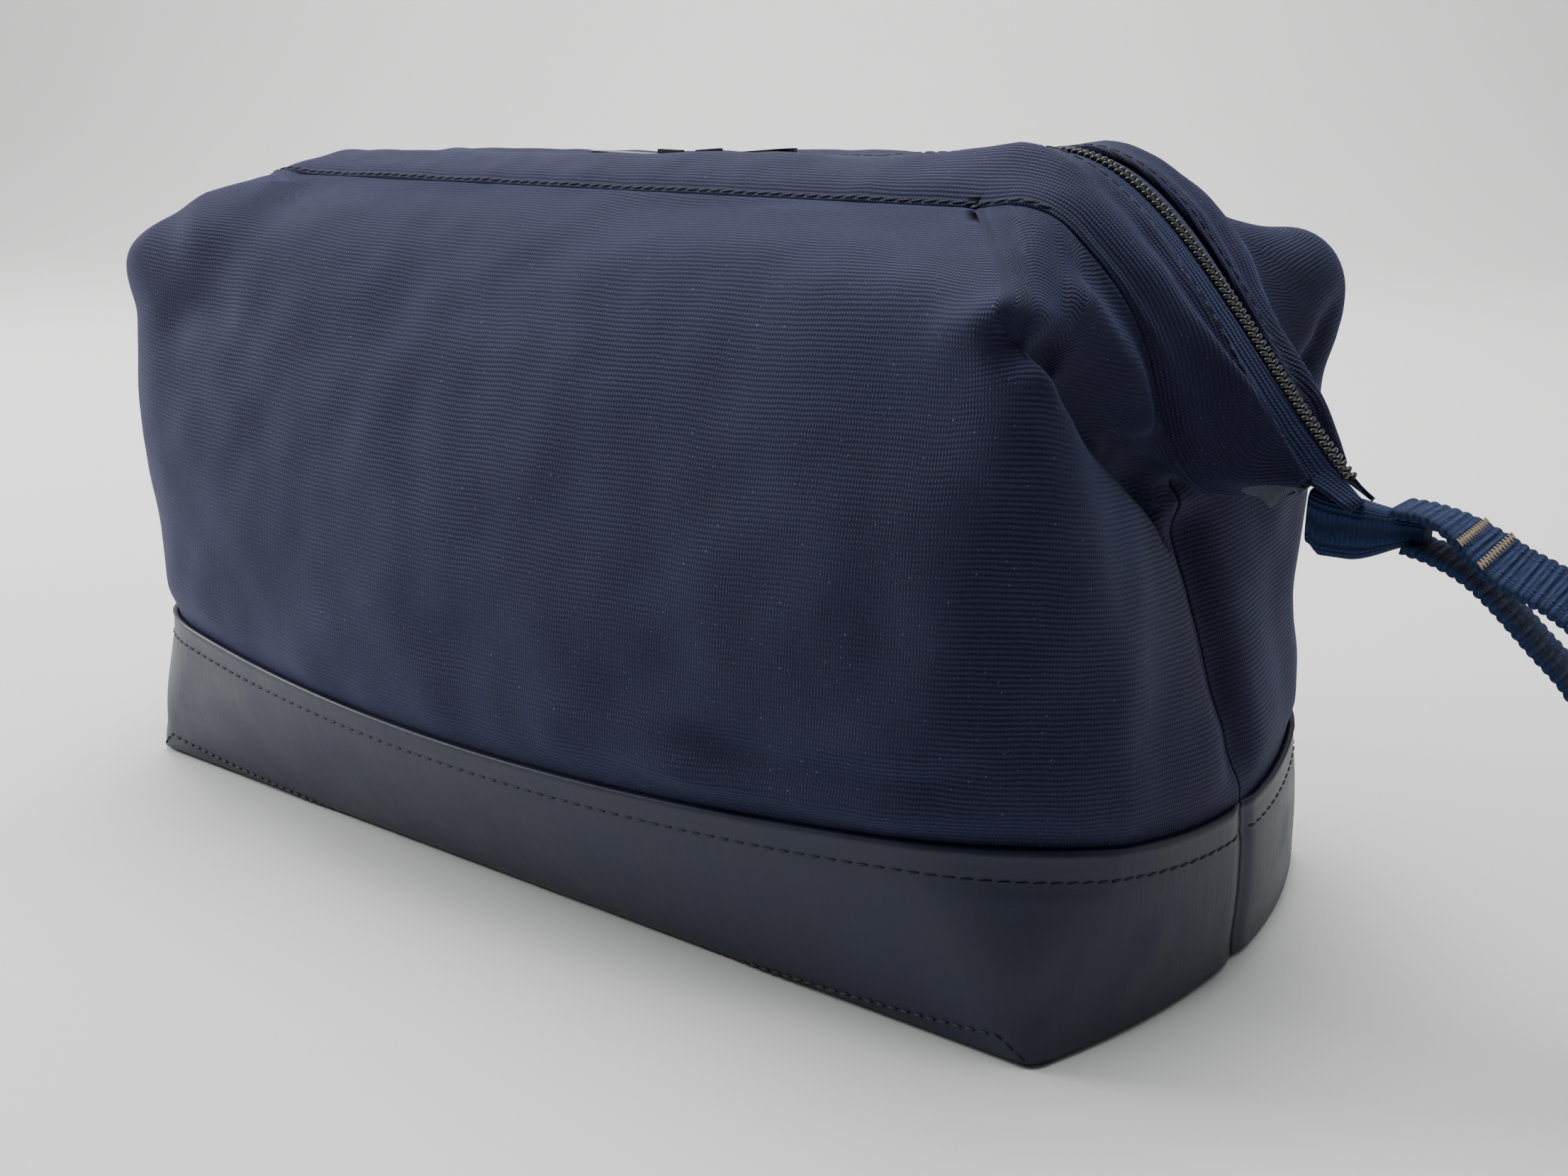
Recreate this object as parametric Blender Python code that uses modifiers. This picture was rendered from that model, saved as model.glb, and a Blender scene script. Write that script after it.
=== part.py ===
"""Wire-frame shaving kit bag: a canvas bag on a leather base, held open by two U-shaped spring wires.

Design sizes are in millimetres and meshes are in metres. +X runs along the bag to the end with the
wrist loop, -Y is the front, +Z is up, and the origin is the middle of the underside.
The front half of the sewn shell is a loft through level sections; the back half is its mirror.
"""

import math

import bmesh
import bpy
import numpy as np
from mathutils import Vector

MM = 0.001

# Overall sizes
base_half_length = 131.6
base_half_depth = 63.0
base_end_bulge = 12.0
leather_height = 36.0
hem_height = 149.5
hem_half_depth = 33.0
ear_drop = 13.5

# Mouth: the zip climbs from the middle of its run to its ends, then drops down both ends of the bag
zip_corner_inset = 36.6
zip_mid_rise = 2.5
zip_left_rise = 4.5
zip_right_rise = 10.3
zip_end_reach = 30.0
zip_end_drop = 50.3
hinge_drop = 3.7
strip_end = 0.90

# Lines along each half of the mouth, as distances in front of the zip and above or below it. Each
# closes towards the zip at its end, sooner for a lower power.
hem_turn = 0.30
hem_end_depth = 0.8
hem_end_drop = 9.5
hem_closing = 1.6
crest_half_depth = 19.8
crest_mid_rise = 4.0
crest_corner_rise = 0.6
crest_end_depth = 8.0
crest_end_drop = 7.03
crest_closing = 1.5
tape_seam_half_depth = 9.0
tape_seam_mid_rise = 1.5
tape_seam_corner_rise = 0.3
tape_seam_end_depth = 6.0
tape_seam_end_drop = 3.61
tape_seam_closing = 3

# Cloth, leather and board thicknesses
canvas_thickness = 1.0
leather_thickness = 1.4
lining_thickness = 0.9
tape_thickness = 0.6
panel_thickness = 1.6
board_thickness = 1.6
clearance = 0.4
seam_gap = 0.3
hem_gap = 0.64
weld_lap = 0.3
lining_inset = 5.0
seam_tape_width = 7.0
seam_tape_thickness = 0.8

# Frame wires, zip, sliders and pullers
wire_diameter = 3.0
wire_depth_in_roll = 1.4
wire_end = 0.58
coil_radius = 1.15
coil_gap = 1.2
tape_tuck = 2.5
tape_showing = 1.0
tape_tip_depth = 6.5
tape_tip_drop = 2.0
tape_tip_share = 0.2
tape_tip_draw = 1.4
slider_length = 11.0
slider_width = 8.4
slider_plate = 0.9
slider_web_play = 0.3
bridge_opening = 1.8
bridge_bar = 0.8
bridge_width = 2.0
bridge_length = 6.4
puller_length = 24.0
puller_width = 7.0
puller_thickness = 1.0
puller_eye_play = 0.3
puller_eye_bar = 1.0
puller_shoulder = 3.0

# Lining flap, zip end tabs and wrist loop
flap_past_run = 1.9
tab_lap = 9.6
tab_length = 20.0
tab_half_width = 3.5
tab_tip_half_width = 2.5
tab_height = 6.5
tab_tip_height = 3.9
webbing_width = 13.0
webbing_thickness = 1.6
anchor_length = 15.0
anchor_lap = 4.0
anchor_slant = 0.18
inner_tack_at = 8.0
outer_tack_at = 12.8
tack_length = 1.4
tack_height = 0.5
loop_gap = 2.4
nose_margin = 1.2
nose_ease = 0.075
throat_clear = 4.0

# How finely curves are divided
front_columns = 6
corner_columns = 4
end_columns = 5
leather_rows = 4
canvas_rows = 11
seam_tape_rows = 8
loop_points = 60
tip_steps = 8

# Level sections of the shell, from the floor to the fold under the hem. Each has the depth and height
# at the middle of the front, the corner (x, y, z) with its rounding, and the end seam (x, z). Depths
# and lengths are added to the base's; heights run from 0 at the floor to 1 at the leather's top.
LEATHER_SECTIONS = [
    dict(front=0.0, z=0.0, corner=(0.0, 0.0, 0.0), round=3.0, end=0.0, end_z=0.0),
    dict(front=9.5, z=0.5, corner=(-2.1, 2.5, 0.52), round=14.0, end=0.7, end_z=0.47),
    dict(front=16.0, z=1.0, corner=(-4.1, 2.5, 1.16), round=24.0, end=-0.6, end_z=0.95),
]
# Above the leather, heights run from 0 at the leather's top to 1 at the ear.
CANVAS_SECTIONS = [
    dict(front=16.5, z=0.24, corner=(-2.1, 4.5, 0.25), round=26.0, end=-7.1, end_z=0.25),
    dict(front=12.0, z=0.52, corner=(-0.1, 6.0, 0.54), round=24.0, end=-13.1, end_z=0.45),
    dict(front=2.0, z=0.81, corner=(-0.1, 5.0, 0.81), round=19.0, end=-17.6, end_z=0.56),
    dict(front=-12.0, z=1.02, corner=(-2.6, 2.0, 1.0), round=12.0, end=-20.1, end_z=0.62),
]
# Places on the loft, counted in sections from the floor.
LEATHER_FOOT = 0.03
LEATHER_TOP = 2
SEAM_TAPE_SPAN = (2.1, 4.9)
LINING_RINGS = (0.0, 1.0, 2.0, 3.0, 4.0, 4.9)
# Handles of the zip's curve down an end, as shares of the way along and of the way down.
ZIP_HANDLES = ((0.38, 0.02), (0.67, 0.69))
# The lining flap from the hem down, as shares of the hem's depth and of its height over the hinge.
FLAP_PROFILE = ((0.33, 0.96), (0.62, 0.91), (0.94, 0.86), (1.28, 0.68), (1.58, 0.42))
# Both legs of the wrist loop as (x, z) from its nose, down the outer leg and back up the inner one.
LOOP_OUTER_LEG = ((0, 0), (13, -9), (27, -21), (41, -37), (50, -56), (51, -70), (46, -78.5))
LOOP_INNER_LEG = ((38, -79), (33, -70), (30, -55), (24, -39), (15, -25), (6, -12))
LOOP_NOSE_DEG = (230, 180, 130, 90)

base_end = base_half_length + base_end_bulge
ear_height = hem_height - ear_drop
zip_run_half = base_half_length - zip_corner_inset
zip_mid_height = hem_height + zip_mid_rise
zip_left_height = hem_height + zip_left_rise
zip_right_height = hem_height + zip_right_rise
zip_end = base_half_length + zip_end_reach
zip_end_height = hem_height - zip_end_drop
hinge_height = zip_end_height - hinge_drop
tab_start = zip_end - tab_lap


def clear_scene():
    for obj in list(bpy.data.objects):
        bpy.data.objects.remove(obj, do_unlink=True)


def new_collection(name):
    collection = bpy.data.collections.new(name)
    bpy.context.scene.collection.children.link(collection)
    return collection


def material(name, color, roughness, metallic=0.0):
    made = bpy.data.materials.new(name)
    made.use_nodes = True
    shader = made.node_tree.nodes["Principled BSDF"]
    shader.inputs["Base Color"].default_value = (*color, 1.0)
    shader.inputs["Roughness"].default_value = roughness
    shader.inputs["Metallic"].default_value = metallic
    return made


def catmull_rom(rows, at):
    """The point at parameter `at` on a smooth curve through rows[0], rows[1], ..."""
    rows = np.asarray(rows, float)
    last = len(rows) - 1
    k = min(int(at), last - 1)
    t = at - k
    before = rows[k - 1] if k > 0 else 2 * rows[k] - rows[k + 1]
    after = rows[k + 2] if k + 2 <= last else 2 * rows[k + 1] - rows[k]
    a, b = rows[k], rows[k + 1]
    return 0.5 * (
        2 * a
        + (b - before) * t
        + (2 * before - 5 * a + 4 * b - after) * t**2
        + (3 * a - before - 3 * b + after) * t**3
    )


def bezier(points, t):
    a, b, c, d = (np.asarray(p, float) for p in points)
    return (1 - t) ** 3 * a + 3 * (1 - t) ** 2 * t * b + 3 * (1 - t) * t**2 * c + t**3 * d


def blend(a, b, t):
    return a + (b - a) * t


# ---- the zip's route, which the whole mouth follows ----

def zip_point(side, u):
    """(x, z) of the zip: u from -1 to 0 is the straight run from the middle, 0 to 1 the drop down an end."""
    top = zip_right_height if side > 0 else zip_left_height
    if u <= 0:
        return np.array([side * (1 + u) * zip_run_half, blend(zip_mid_height, top, 1 + u)])
    corner = np.array([zip_run_half, top])
    tip = np.array([zip_end, zip_end_height])
    handles = [corner + np.array(share) * (tip - corner) for share in ZIP_HANDLES]
    x, z = bezier([corner, *handles, tip], u)
    return np.array([side * x, z])


def zip_normal(side, u):
    """The unit direction away from the bag, square to the zip's route."""
    step = 0.01
    ahead = zip_point(side, min(u + step, 1.0)) - zip_point(side, min(u + step, 1.0) - 2 * step)
    outward = side * np.array([-ahead[1], ahead[0]])
    return outward / np.linalg.norm(outward)


def beside_zip(side, u, depth, drop):
    """A point `depth` in front of the zip and `drop` below it, towards the inside of the bag."""
    x, z = zip_point(side, u) - drop * zip_normal(side, u)
    return np.array([x, -depth, z])


def along_strip(u):
    return min(max(u / strip_end, 0.0), 1.0)


def closing_in(start, end, way):
    """A depth that leaves `start` gently and closes to `end`."""
    return end + (start - end) * math.cos(0.5 * math.pi * way)


def hem_line(side, u):
    """The stitched lower edge of the wire channel: level over the run, closing to the middle at the end."""
    level = zip_point(side, min(u, 0))[1] - hem_height
    way = along_strip(u)
    depth = closing_in(hem_half_depth, hem_end_depth, way**hem_closing)
    return beside_zip(side, u, depth, blend(level, hem_end_drop, way))


def crest_line(side, u):
    """The top of the roll that the wire makes in its channel."""
    rise = blend(crest_mid_rise, crest_corner_rise, min(1.0, 1 + u))
    way = along_strip(u)
    depth = closing_in(crest_half_depth, crest_end_depth, way**crest_closing)
    return beside_zip(side, u, depth, blend(-rise, crest_end_drop, way**2))


def tape_line(side, u):
    """The stitched upper edge of the channel, where the zip tape starts."""
    rise = blend(tape_seam_mid_rise, tape_seam_corner_rise, min(1.0, 1 + u))
    way = along_strip(u)
    depth = blend(tape_seam_half_depth, tape_seam_end_depth, way**tape_seam_closing)
    return beside_zip(side, u, depth, blend(-rise, tape_seam_end_drop, way**2))


def both_sides(quarter):
    """(side, u) from the left end to the right end, from the values of u from the middle to an end."""
    return [(-1, u) for u in reversed(quarter)] + [(1, u) for u in quarter[1:]]


def stations(last, run_steps=8, end_steps=12):
    runs = [-1 + k / run_steps for k in range(run_steps)]
    return both_sides(runs + [last * k / end_steps for k in range(end_steps + 1)])


def hem_stations():
    """The stations of the wire channel, one for each column of a shell section."""
    runs = [-1 + 0.98 * k / front_columns for k in range(front_columns)]
    turn = [hem_turn * k / corner_columns for k in range(corner_columns + 1)]
    drop = [blend(hem_turn, strip_end, k / end_columns) for k in range(1, end_columns + 1)]
    return both_sides(runs + turn + drop)


# ---- sections of the sewn shell ----

def scaled_sections():
    """All the sections in millimetres, from the floor up."""
    made = [section_sizes(row, 0.0, leather_height) for row in LEATHER_SECTIONS]
    return made + [section_sizes(row, leather_height, ear_height) for row in CANVAS_SECTIONS]


def section_sizes(row, low, high):
    span = high - low
    corner = row["corner"]
    return dict(
        front=base_half_depth + row["front"],
        z=low + span * row["z"],
        corner=(base_half_length + corner[0], base_half_depth + corner[1], low + span * corner[2]),
        round=row["round"],
        end=base_end + row["end"],
        end_z=low + span * row["end_z"],
    )


def front_edge(size, inset, x):
    """A point on the front of a section at x, bowed towards its middle."""
    cx, cy, cz = size["corner"]
    share = 1 - (x / (cx - inset)) ** 2
    return np.array([x, -(cy + (size["front"] - cy) * share) + inset, cz + (size["z"] - cz) * share])


def end_edge(size, inset, y):
    """A point on the end of a section at depth y, bowed towards the end seam."""
    cx, cy, cz = size["corner"]
    share = 1 - (y / (cy - inset)) ** 2
    return np.array([cx + (size["end"] - cx) * share - inset, -y, cz + (size["end_z"] - cz) * share])


def quarter_section(size, inset=0.0, gap=seam_gap):
    """The right front quarter of a section, from the middle of the front to the end seam."""
    cx, cy, cz = size["corner"]
    rounding = size["round"]
    turn_x = cx - inset - rounding
    turn_y = cy - inset - rounding
    start = front_edge(size, inset, turn_x)
    stop = end_edge(size, inset, turn_y)
    corner = np.array([cx - inset, -cy + inset, cz])
    points = [front_edge(size, inset, turn_x * k / front_columns) for k in range(front_columns)]
    for k in range(corner_columns + 1):
        t = k / corner_columns
        points.append((1 - t) ** 2 * start + 2 * t * (1 - t) * corner + t**2 * stop)
    for k in range(1, end_columns + 1):
        points.append(end_edge(size, inset, blend(turn_y, gap, k / end_columns)))
    return np.array(points)


def half_section(quarter):
    """Both quarters of the front, from the left end seam to the right one."""
    left = quarter[:0:-1] * (-1, 1, 1)
    return np.vstack([left, quarter])


def front_half_rows(inset=0.0, gap=seam_gap):
    return [half_section(quarter_section(size, inset, gap)) for size in scaled_sections()]


def shell_rows(first, last, count, rows):
    return [catmull_rom(rows, blend(first, last, k / count)) for k in range(count + 1)]


# ---- making objects ----

def mirrored(points):
    return np.asarray(points, float) * (1, -1, 1)


def mesh_object(name, points, faces, made_of, collection, pivot=(0, 0, 0)):
    """An object whose mesh is given in millimetres, with its origin at pivot."""
    mesh = bpy.data.meshes.new(name)
    shifted = (np.asarray(points, float) - np.asarray(pivot, float)) * MM
    mesh.from_pydata([tuple(p) for p in shifted], [], faces)
    mesh.materials.append(made_of)
    mesh.shade_smooth()
    obj = bpy.data.objects.new(name, mesh)
    obj.location = Vector(pivot) * MM
    collection.objects.link(obj)
    return obj


def grid_faces(rows, columns, closed=False):
    """Faces of a grid of points, with their normals on the side where (column, row) turns left."""
    faces = []
    spans = columns if closed else columns - 1
    for r in range(rows - 1):
        for c in range(spans):
            d = (c + 1) % columns
            faces.append((r * columns + c, r * columns + d, (r + 1) * columns + d, (r + 1) * columns + c))
    return faces


def sheet_object(name, rows, thickness, made_of, collection, pivot=(0, 0, 0), back=False):
    """A sheet through rows of points, given its thickness on the inside of the bag."""
    rows = [mirrored(row) for row in rows] if back else rows
    faces = grid_faces(len(rows), len(rows[0]))
    if back:
        faces = [face[::-1] for face in faces]
    obj = mesh_object(name, np.vstack(rows), faces, made_of, collection, pivot)
    add_thickness(obj, thickness)
    return obj


def add_thickness(obj, thickness):
    solidify = obj.modifiers.new("thickness", "SOLIDIFY")
    solidify.thickness = thickness * MM
    solidify.offset = -1


def tube_object(name, points, radius, made_of, collection, pivot=(0, 0, 0)):
    """A round wire along points."""
    curve = bpy.data.curves.new(name, "CURVE")
    curve.dimensions = "3D"
    curve.bevel_depth = radius * MM
    curve.bevel_resolution = 2
    curve.use_fill_caps = True
    spline = curve.splines.new("POLY")
    spline.points.add(len(points) - 1)
    for target, point in zip(spline.points, points):
        target.co = (*((np.asarray(point) - np.asarray(pivot)) * MM), 1)
    curve.materials.append(made_of)
    obj = bpy.data.objects.new(name, curve)
    obj.location = Vector(pivot) * MM
    collection.objects.link(obj)
    return obj


def plate_object(name, outlines, thickness, made_of, collection):
    """A flat plate in its own XY plane, centred on its thickness. Outlines after the first are holes."""
    curve = bpy.data.curves.new(name, "CURVE")
    curve.dimensions = "2D"
    curve.fill_mode = "BOTH"
    curve.extrude = 0.5 * thickness * MM
    for outline in outlines:
        spline = curve.splines.new("POLY")
        spline.points.add(len(outline) - 1)
        spline.use_cyclic_u = True
        for target, (x, y) in zip(spline.points, outline):
            target.co = (x * MM, y * MM, 0, 1)
    curve.materials.append(made_of)
    obj = bpy.data.objects.new(name, curve)
    collection.objects.link(obj)
    return obj


def box_object(name, low, high, made_of, collection):
    mesh = bpy.data.meshes.new(name)
    shape = bmesh.new()
    bmesh.ops.create_cube(shape, size=1)
    low, high = np.asarray(low, float), np.asarray(high, float)
    for vertex in shape.verts:
        vertex.co = Vector(((low + high) / 2 + np.array(vertex.co) * (high - low)) * MM)
    shape.to_mesh(mesh)
    shape.free()
    mesh.materials.append(made_of)
    obj = bpy.data.objects.new(name, mesh)
    collection.objects.link(obj)
    return obj


def join_to(obj, helper):
    """Adds the helper's shape to obj."""
    helper.hide_render = True
    helper.display_type = "WIRE"
    union = obj.modifiers.new(helper.name, "BOOLEAN")
    union.operation = "UNION"
    union.object = helper


# ---- base and shell ----

def make_base(rows, parts, leather, board):
    """The leather band round the base, its bottom panel, and the board that stiffens it."""
    band = shell_rows(LEATHER_FOOT, LEATHER_TOP, leather_rows, rows)
    for name, back in (("base_leather_front", False), ("base_leather_back", True)):
        sheet_object(name, band, leather_thickness, leather, parts, back=back)
    level = scaled_sections()[0]
    level["round"] = level["round"] + lining_inset
    for name, inset, bottom, thickness, made_of in (
        ("base_bottom_panel", leather_thickness + 2 * clearance, 0.0, panel_thickness, leather),
        ("base_board", lining_inset, panel_thickness + clearance, board_thickness, board),
    ):
        front = half_section(quarter_section(level, inset, 0.0))[:, :2]
        back = (front * (1, -1))[-2:0:-1]
        plate = plate_object(name, [np.vstack([front, back])], thickness, made_of, parts)
        plate.location = (0, 0, (bottom + thickness / 2) * MM)


def make_canvas(rows, parts, canvas, tape_cloth):
    """The two canvas panels, from the leather to the hem, and the tapes inside the end seams."""
    hem = np.array([hem_line(side, u) for side, u in hem_stations()])
    first_span = CANVAS_SECTIONS[0]["corner"][2] * (ear_height - leather_height)
    first = LEATHER_TOP + clearance / first_span
    middle = len(hem) // 2
    last_span = np.linalg.norm(hem[middle] - rows[-1][middle])
    last = len(rows) - hem_gap / last_span
    panel = shell_rows(first, last, canvas_rows, [*rows, hem])
    for name, back in (("canvas_front_panel", False), ("canvas_back_panel", True)):
        sheet_object(name, panel, canvas_thickness, canvas, parts, back=back)
    for name, side in (("end_seam_tape_right", 1), ("end_seam_tape_left", -1)):
        make_end_seam_tape(name, side, parts, tape_cloth)


def make_end_seam_tape(name, side, parts, tape_cloth):
    inset = canvas_thickness + leather_thickness
    sizes = scaled_sections()[LEATHER_TOP:-1]
    seam = [np.array([size["end"] - inset, size["end_z"]]) for size in sizes]
    half = seam_tape_width / 2
    tape = []
    for k in range(seam_tape_rows + 1):
        x, z = catmull_rom(seam, blend(*SEAM_TAPE_SPAN, k / seam_tape_rows) - LEATHER_TOP)
        tape.append(np.array([[side * x, -side * half, z], [side * x, side * half, z]]))
    sheet_object(name, tape, seam_tape_thickness, tape_cloth, parts)


def make_lining_tub(parts, lining_cloth):
    """The lower lining: an open tub that stands inside the canvas and the leather."""
    level = 2 * clearance + panel_thickness + board_thickness
    rings = []
    halves = front_half_rows(lining_inset, 0.0)
    for at in LINING_RINGS:
        front = catmull_rom(halves, at)
        if at == LINING_RINGS[0]:
            front = front + (0, 0, level)
        back = mirrored(front)[-2:0:-1]
        rings.append(np.vstack([front, back]))
    columns = len(rings[0])
    faces = grid_faces(len(rings), columns, closed=True)
    faces.append(tuple(reversed(range(columns))))
    tub = mesh_object("lining_tub", np.vstack(rings), faces, lining_cloth, parts)
    add_thickness(tub, lining_thickness)


# ---- the two halves of the mouth ----

def make_mouth_half(label, back, parts, looks):
    """One half of the mouth: wire channel, wire, zip tape, zip coil and lining flap."""
    pivot = (0, 0, hinge_height)
    flip = mirrored if back else np.asarray
    line = hem_stations()
    lines = [[f(side, u) for side, u in line] for f in (hem_line, crest_line, tape_line)]
    sheet_object(
        f"hem_channel_{label}", lines, canvas_thickness, looks["canvas"], parts, pivot, back
    )

    under_crest = canvas_thickness + clearance + wire_diameter / 2 + wire_depth_in_roll
    wire = [
        crest_line(side, u) - under_crest * outward(side, u) for side, u in stations(wire_end, 4, 12)
    ]
    wire = [flip(point) for point in wire]
    tube_object(f"frame_wire_{label}", wire, wire_diameter / 2, looks["steel"], parts, pivot)

    tape_drop = canvas_thickness + tape_thickness + clearance
    coil_edge = coil_gap / 2 + 2 * coil_radius + 1.5 * clearance
    route = stations(1.0, 6, 14)
    tucked = [tape_under_channel(side, u, tape_tuck, tape_drop) for side, u in route]
    leaving = [tape_under_channel(side, u, -tape_showing, tape_drop) for side, u in route]
    inner = [beside_zip(side, u, coil_edge, -tape_thickness / 2) for side, u in route]
    sheet_object(
        f"zip_tape_{label}", [tucked, leaving, inner], tape_thickness, looks["tape"], parts, pivot, back
    )

    centre = coil_gap / 2 + coil_radius
    coil = [flip(beside_zip(side, u, centre, 0)) for side, u in stations(1.0, 2, 16)]
    tube_object(f"zip_coil_{label}", coil, coil_radius, looks["coil"], parts, pivot)
    make_lining_flap(label, back, parts, looks["lining"], pivot)


def outward(side, u):
    x, z = zip_normal(side, u)
    return np.array([x, 0, z])


def tape_under_channel(side, u, beyond, drop):
    """A point of the zip tape `beyond` past the channel's edge, which it draws in from towards its end."""
    closed = tape_tip_share * beyond
    tuck = blend(beyond, closed - tape_tip_draw, along_strip(u) ** 2)
    tail = max(0.0, (u - strip_end) / (1 - strip_end))
    edge = tape_line(side, min(u, strip_end))
    at_edge = edge - (0, tuck, 0) - drop * outward(side, min(u, strip_end))
    at_tip = beside_zip(side, u, tape_tip_depth + closed, tape_tip_drop)
    return blend(at_edge, at_tip, tail)


def make_lining_flap(label, back, parts, lining_cloth, pivot):
    """The upper lining, sewn under the channel and hanging inside the tub."""
    half = zip_run_half + flap_past_run
    reach = hem_height - hinge_height
    rows = []
    for depth, height in reversed(FLAP_PROFILE):
        row = []
        for x in (-half, -half / 2, 0, half / 2, half):
            row.append((x, -depth * hem_half_depth, hinge_height + height * reach))
        rows.append(np.array(row))
    sheet_object(f"lining_flap_{label}", rows, lining_thickness, lining_cloth, parts, pivot, back)


# ---- sliders, pullers, tabs and wrist loop ----

def make_slider(label, side, parts, helpers, looks):
    """A slider on the zip's run with its puller lying outwards. Its x axis points away from the middle."""
    top = zip_right_height if side > 0 else zip_left_height
    slope = math.atan2(top - zip_mid_height, zip_run_half)
    start = slider_length / 2 + clearance
    x = start * math.cos(slope)
    z = zip_mid_height + start * math.sin(slope)
    plate_low = coil_radius + clearance
    half_width = slider_width / 2
    web = coil_gap / 2 - slider_web_play
    profile = [
        (-half_width, -plate_low - slider_plate),
        (half_width, -plate_low - slider_plate),
        (half_width, -plate_low),
        (web, -plate_low),
        (web, plate_low),
        (half_width, plate_low),
        (half_width, plate_low + slider_plate),
        (-half_width, plate_low + slider_plate),
        (-half_width, plate_low),
        (-web, plate_low),
        (-web, -plate_low),
        (-half_width, -plate_low),
    ]
    points = [(0.5 * slider_length * end, y, h) for end in (-1, 1) for y, h in profile]
    count = len(profile)
    faces = [tuple(range(count))[::-1], tuple(range(count, 2 * count))]
    faces += [(k, (k + 1) % count, (k + 1) % count + count, k + count) for k in range(count)]
    body = mesh_object(f"slider_{label}", points, faces, looks["zinc"], parts)
    body.data.shade_flat()

    deck = plate_low + slider_plate
    outer = rectangle(bridge_length / 2, -weld_lap, bridge_opening + bridge_bar)
    inner = rectangle(bridge_length / 2 - bridge_bar, 0, bridge_opening)
    bridge = ring_prism(f"slider_{label}_bridge", outer, inner, bridge_width, deck, looks["zinc"], helpers)
    join_to(body, bridge)

    puller = make_puller(f"puller_{label}", parts, looks["zinc"])
    puller.location = Vector((0, 0, (deck + bridge_opening / 2) * MM))
    for obj in (body, bridge, puller):
        place_on_zip(obj, side, slope, x, z)


def rectangle(half, low, high):
    return [(-half, low), (half, low), (half, high), (-half, high)]


def place_on_zip(obj, side, slope, x, z):
    """Moves an object from the zip's own axes, x away from the middle, to its place on the bag."""
    height = obj.location.z
    obj.rotation_euler = (0.0, -slope, 0.0 if side > 0 else math.pi)
    lift = Vector((-side * math.sin(slope), 0, math.cos(slope))) * height
    obj.location = Vector((side * x, 0, z)) * MM + lift


def ring_prism(name, outer, inner, width, deck, made_of, collection):
    """A square ring in the XZ plane, `width` deep along Y, as one closed body."""
    points = []
    for y in (-width / 2, width / 2):
        points += [(x, y, deck + h) for x, h in outer] + [(x, y, deck + h) for x, h in inner]
    faces = []
    for k in range(4):
        n = (k + 1) % 4
        faces.append((k, n, n + 4, k + 4))
        faces.append((k + 8, k + 12, n + 12, n + 8))
        faces.append((k, k + 8, n + 8, n))
        faces.append((k + 4, n + 4, n + 12, k + 12))
    return mesh_object(name, points, faces, made_of, collection)


def make_puller(name, parts, zinc):
    """A flat puller with its eye around the slider's bridge and its origin on the swing axis."""
    bar = puller_thickness / 2
    eye = bridge_width / 2 + puller_eye_play
    arm = eye + puller_eye_bar
    half = puller_width / 2
    eye_end = bridge_length / 2 + puller_eye_bar
    shoulder = eye_end + puller_shoulder
    tip = []
    for k in range(tip_steps + 1):
        angle = math.pi * (k / tip_steps - 0.5)
        tip.append((puller_length - half + half * math.cos(angle), half * math.sin(angle)))
    lower = [(-bar, -arm), (eye_end, -arm), (shoulder, -half)]
    upper = [(shoulder, half), (eye_end, arm), (-bar, arm)]
    outline = [*lower, *tip, *upper]
    hole = [(bar, -eye), (bar, eye), (eye_end, eye), (eye_end, -eye)]
    return plate_object(name, [outline, hole], puller_thickness, zinc, parts)


def make_tab(label, side, parts, tape_cloth):
    """The folded end of the zip tapes, narrowing to a point."""
    top = hinge_height - clearance
    points = []
    for x, height, half in (
        (tab_start, tab_height, tab_half_width),
        (tab_start + tab_length, tab_tip_height, tab_tip_half_width),
    ):
        for y, z in ((-half, top - height), (half, top - height), (half, top), (-half, top)):
            points.append((side * x, side * y, z))
    faces = [(3, 2, 1, 0), (4, 5, 6, 7)] + [(k, (k + 1) % 4, (k + 1) % 4 + 4, k + 4) for k in range(4)]
    mesh_object(f"zip_end_tab_{label}", points, faces, tape_cloth, parts).data.shade_flat()


def make_anchor(parts, webbing, thread):
    """The sewn ends of the wrist loop above the tab, with two rows of thread across."""
    start = tab_start + tab_length - anchor_lap
    low = hinge_height + anchor_slant * anchor_lap
    rise = webbing_thickness
    points = []
    for x, sink in ((start, 0.0), (start + anchor_length, anchor_slant * anchor_length)):
        for y, z in ((-1, 0), (1, 0), (1, rise), (-1, rise)):
            points.append((x, y * webbing_width / 2, low + z - sink))
    faces = [(3, 2, 1, 0), (4, 5, 6, 7)] + [(k, (k + 1) % 4, (k + 1) % 4 + 4, k + 4) for k in range(4)]
    mesh_object("strap_anchor", points, faces, webbing, parts).data.shade_flat()
    for name, at in (("bar_tack_inner", inner_tack_at), ("bar_tack_outer", outer_tack_at)):
        top = low + rise + clearance - anchor_slant * at
        tack = box_object(
            name,
            (-tack_length / 2, -webbing_width / 2, 0),
            (tack_length / 2, webbing_width / 2, tack_height),
            thread,
            parts,
        )
        tack.location = Vector((start + at, 0, top)) * MM
        tack.rotation_euler.y = math.atan(anchor_slant)
    return np.array([start + anchor_length, low + rise / 2 - anchor_slant * anchor_length])


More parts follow.
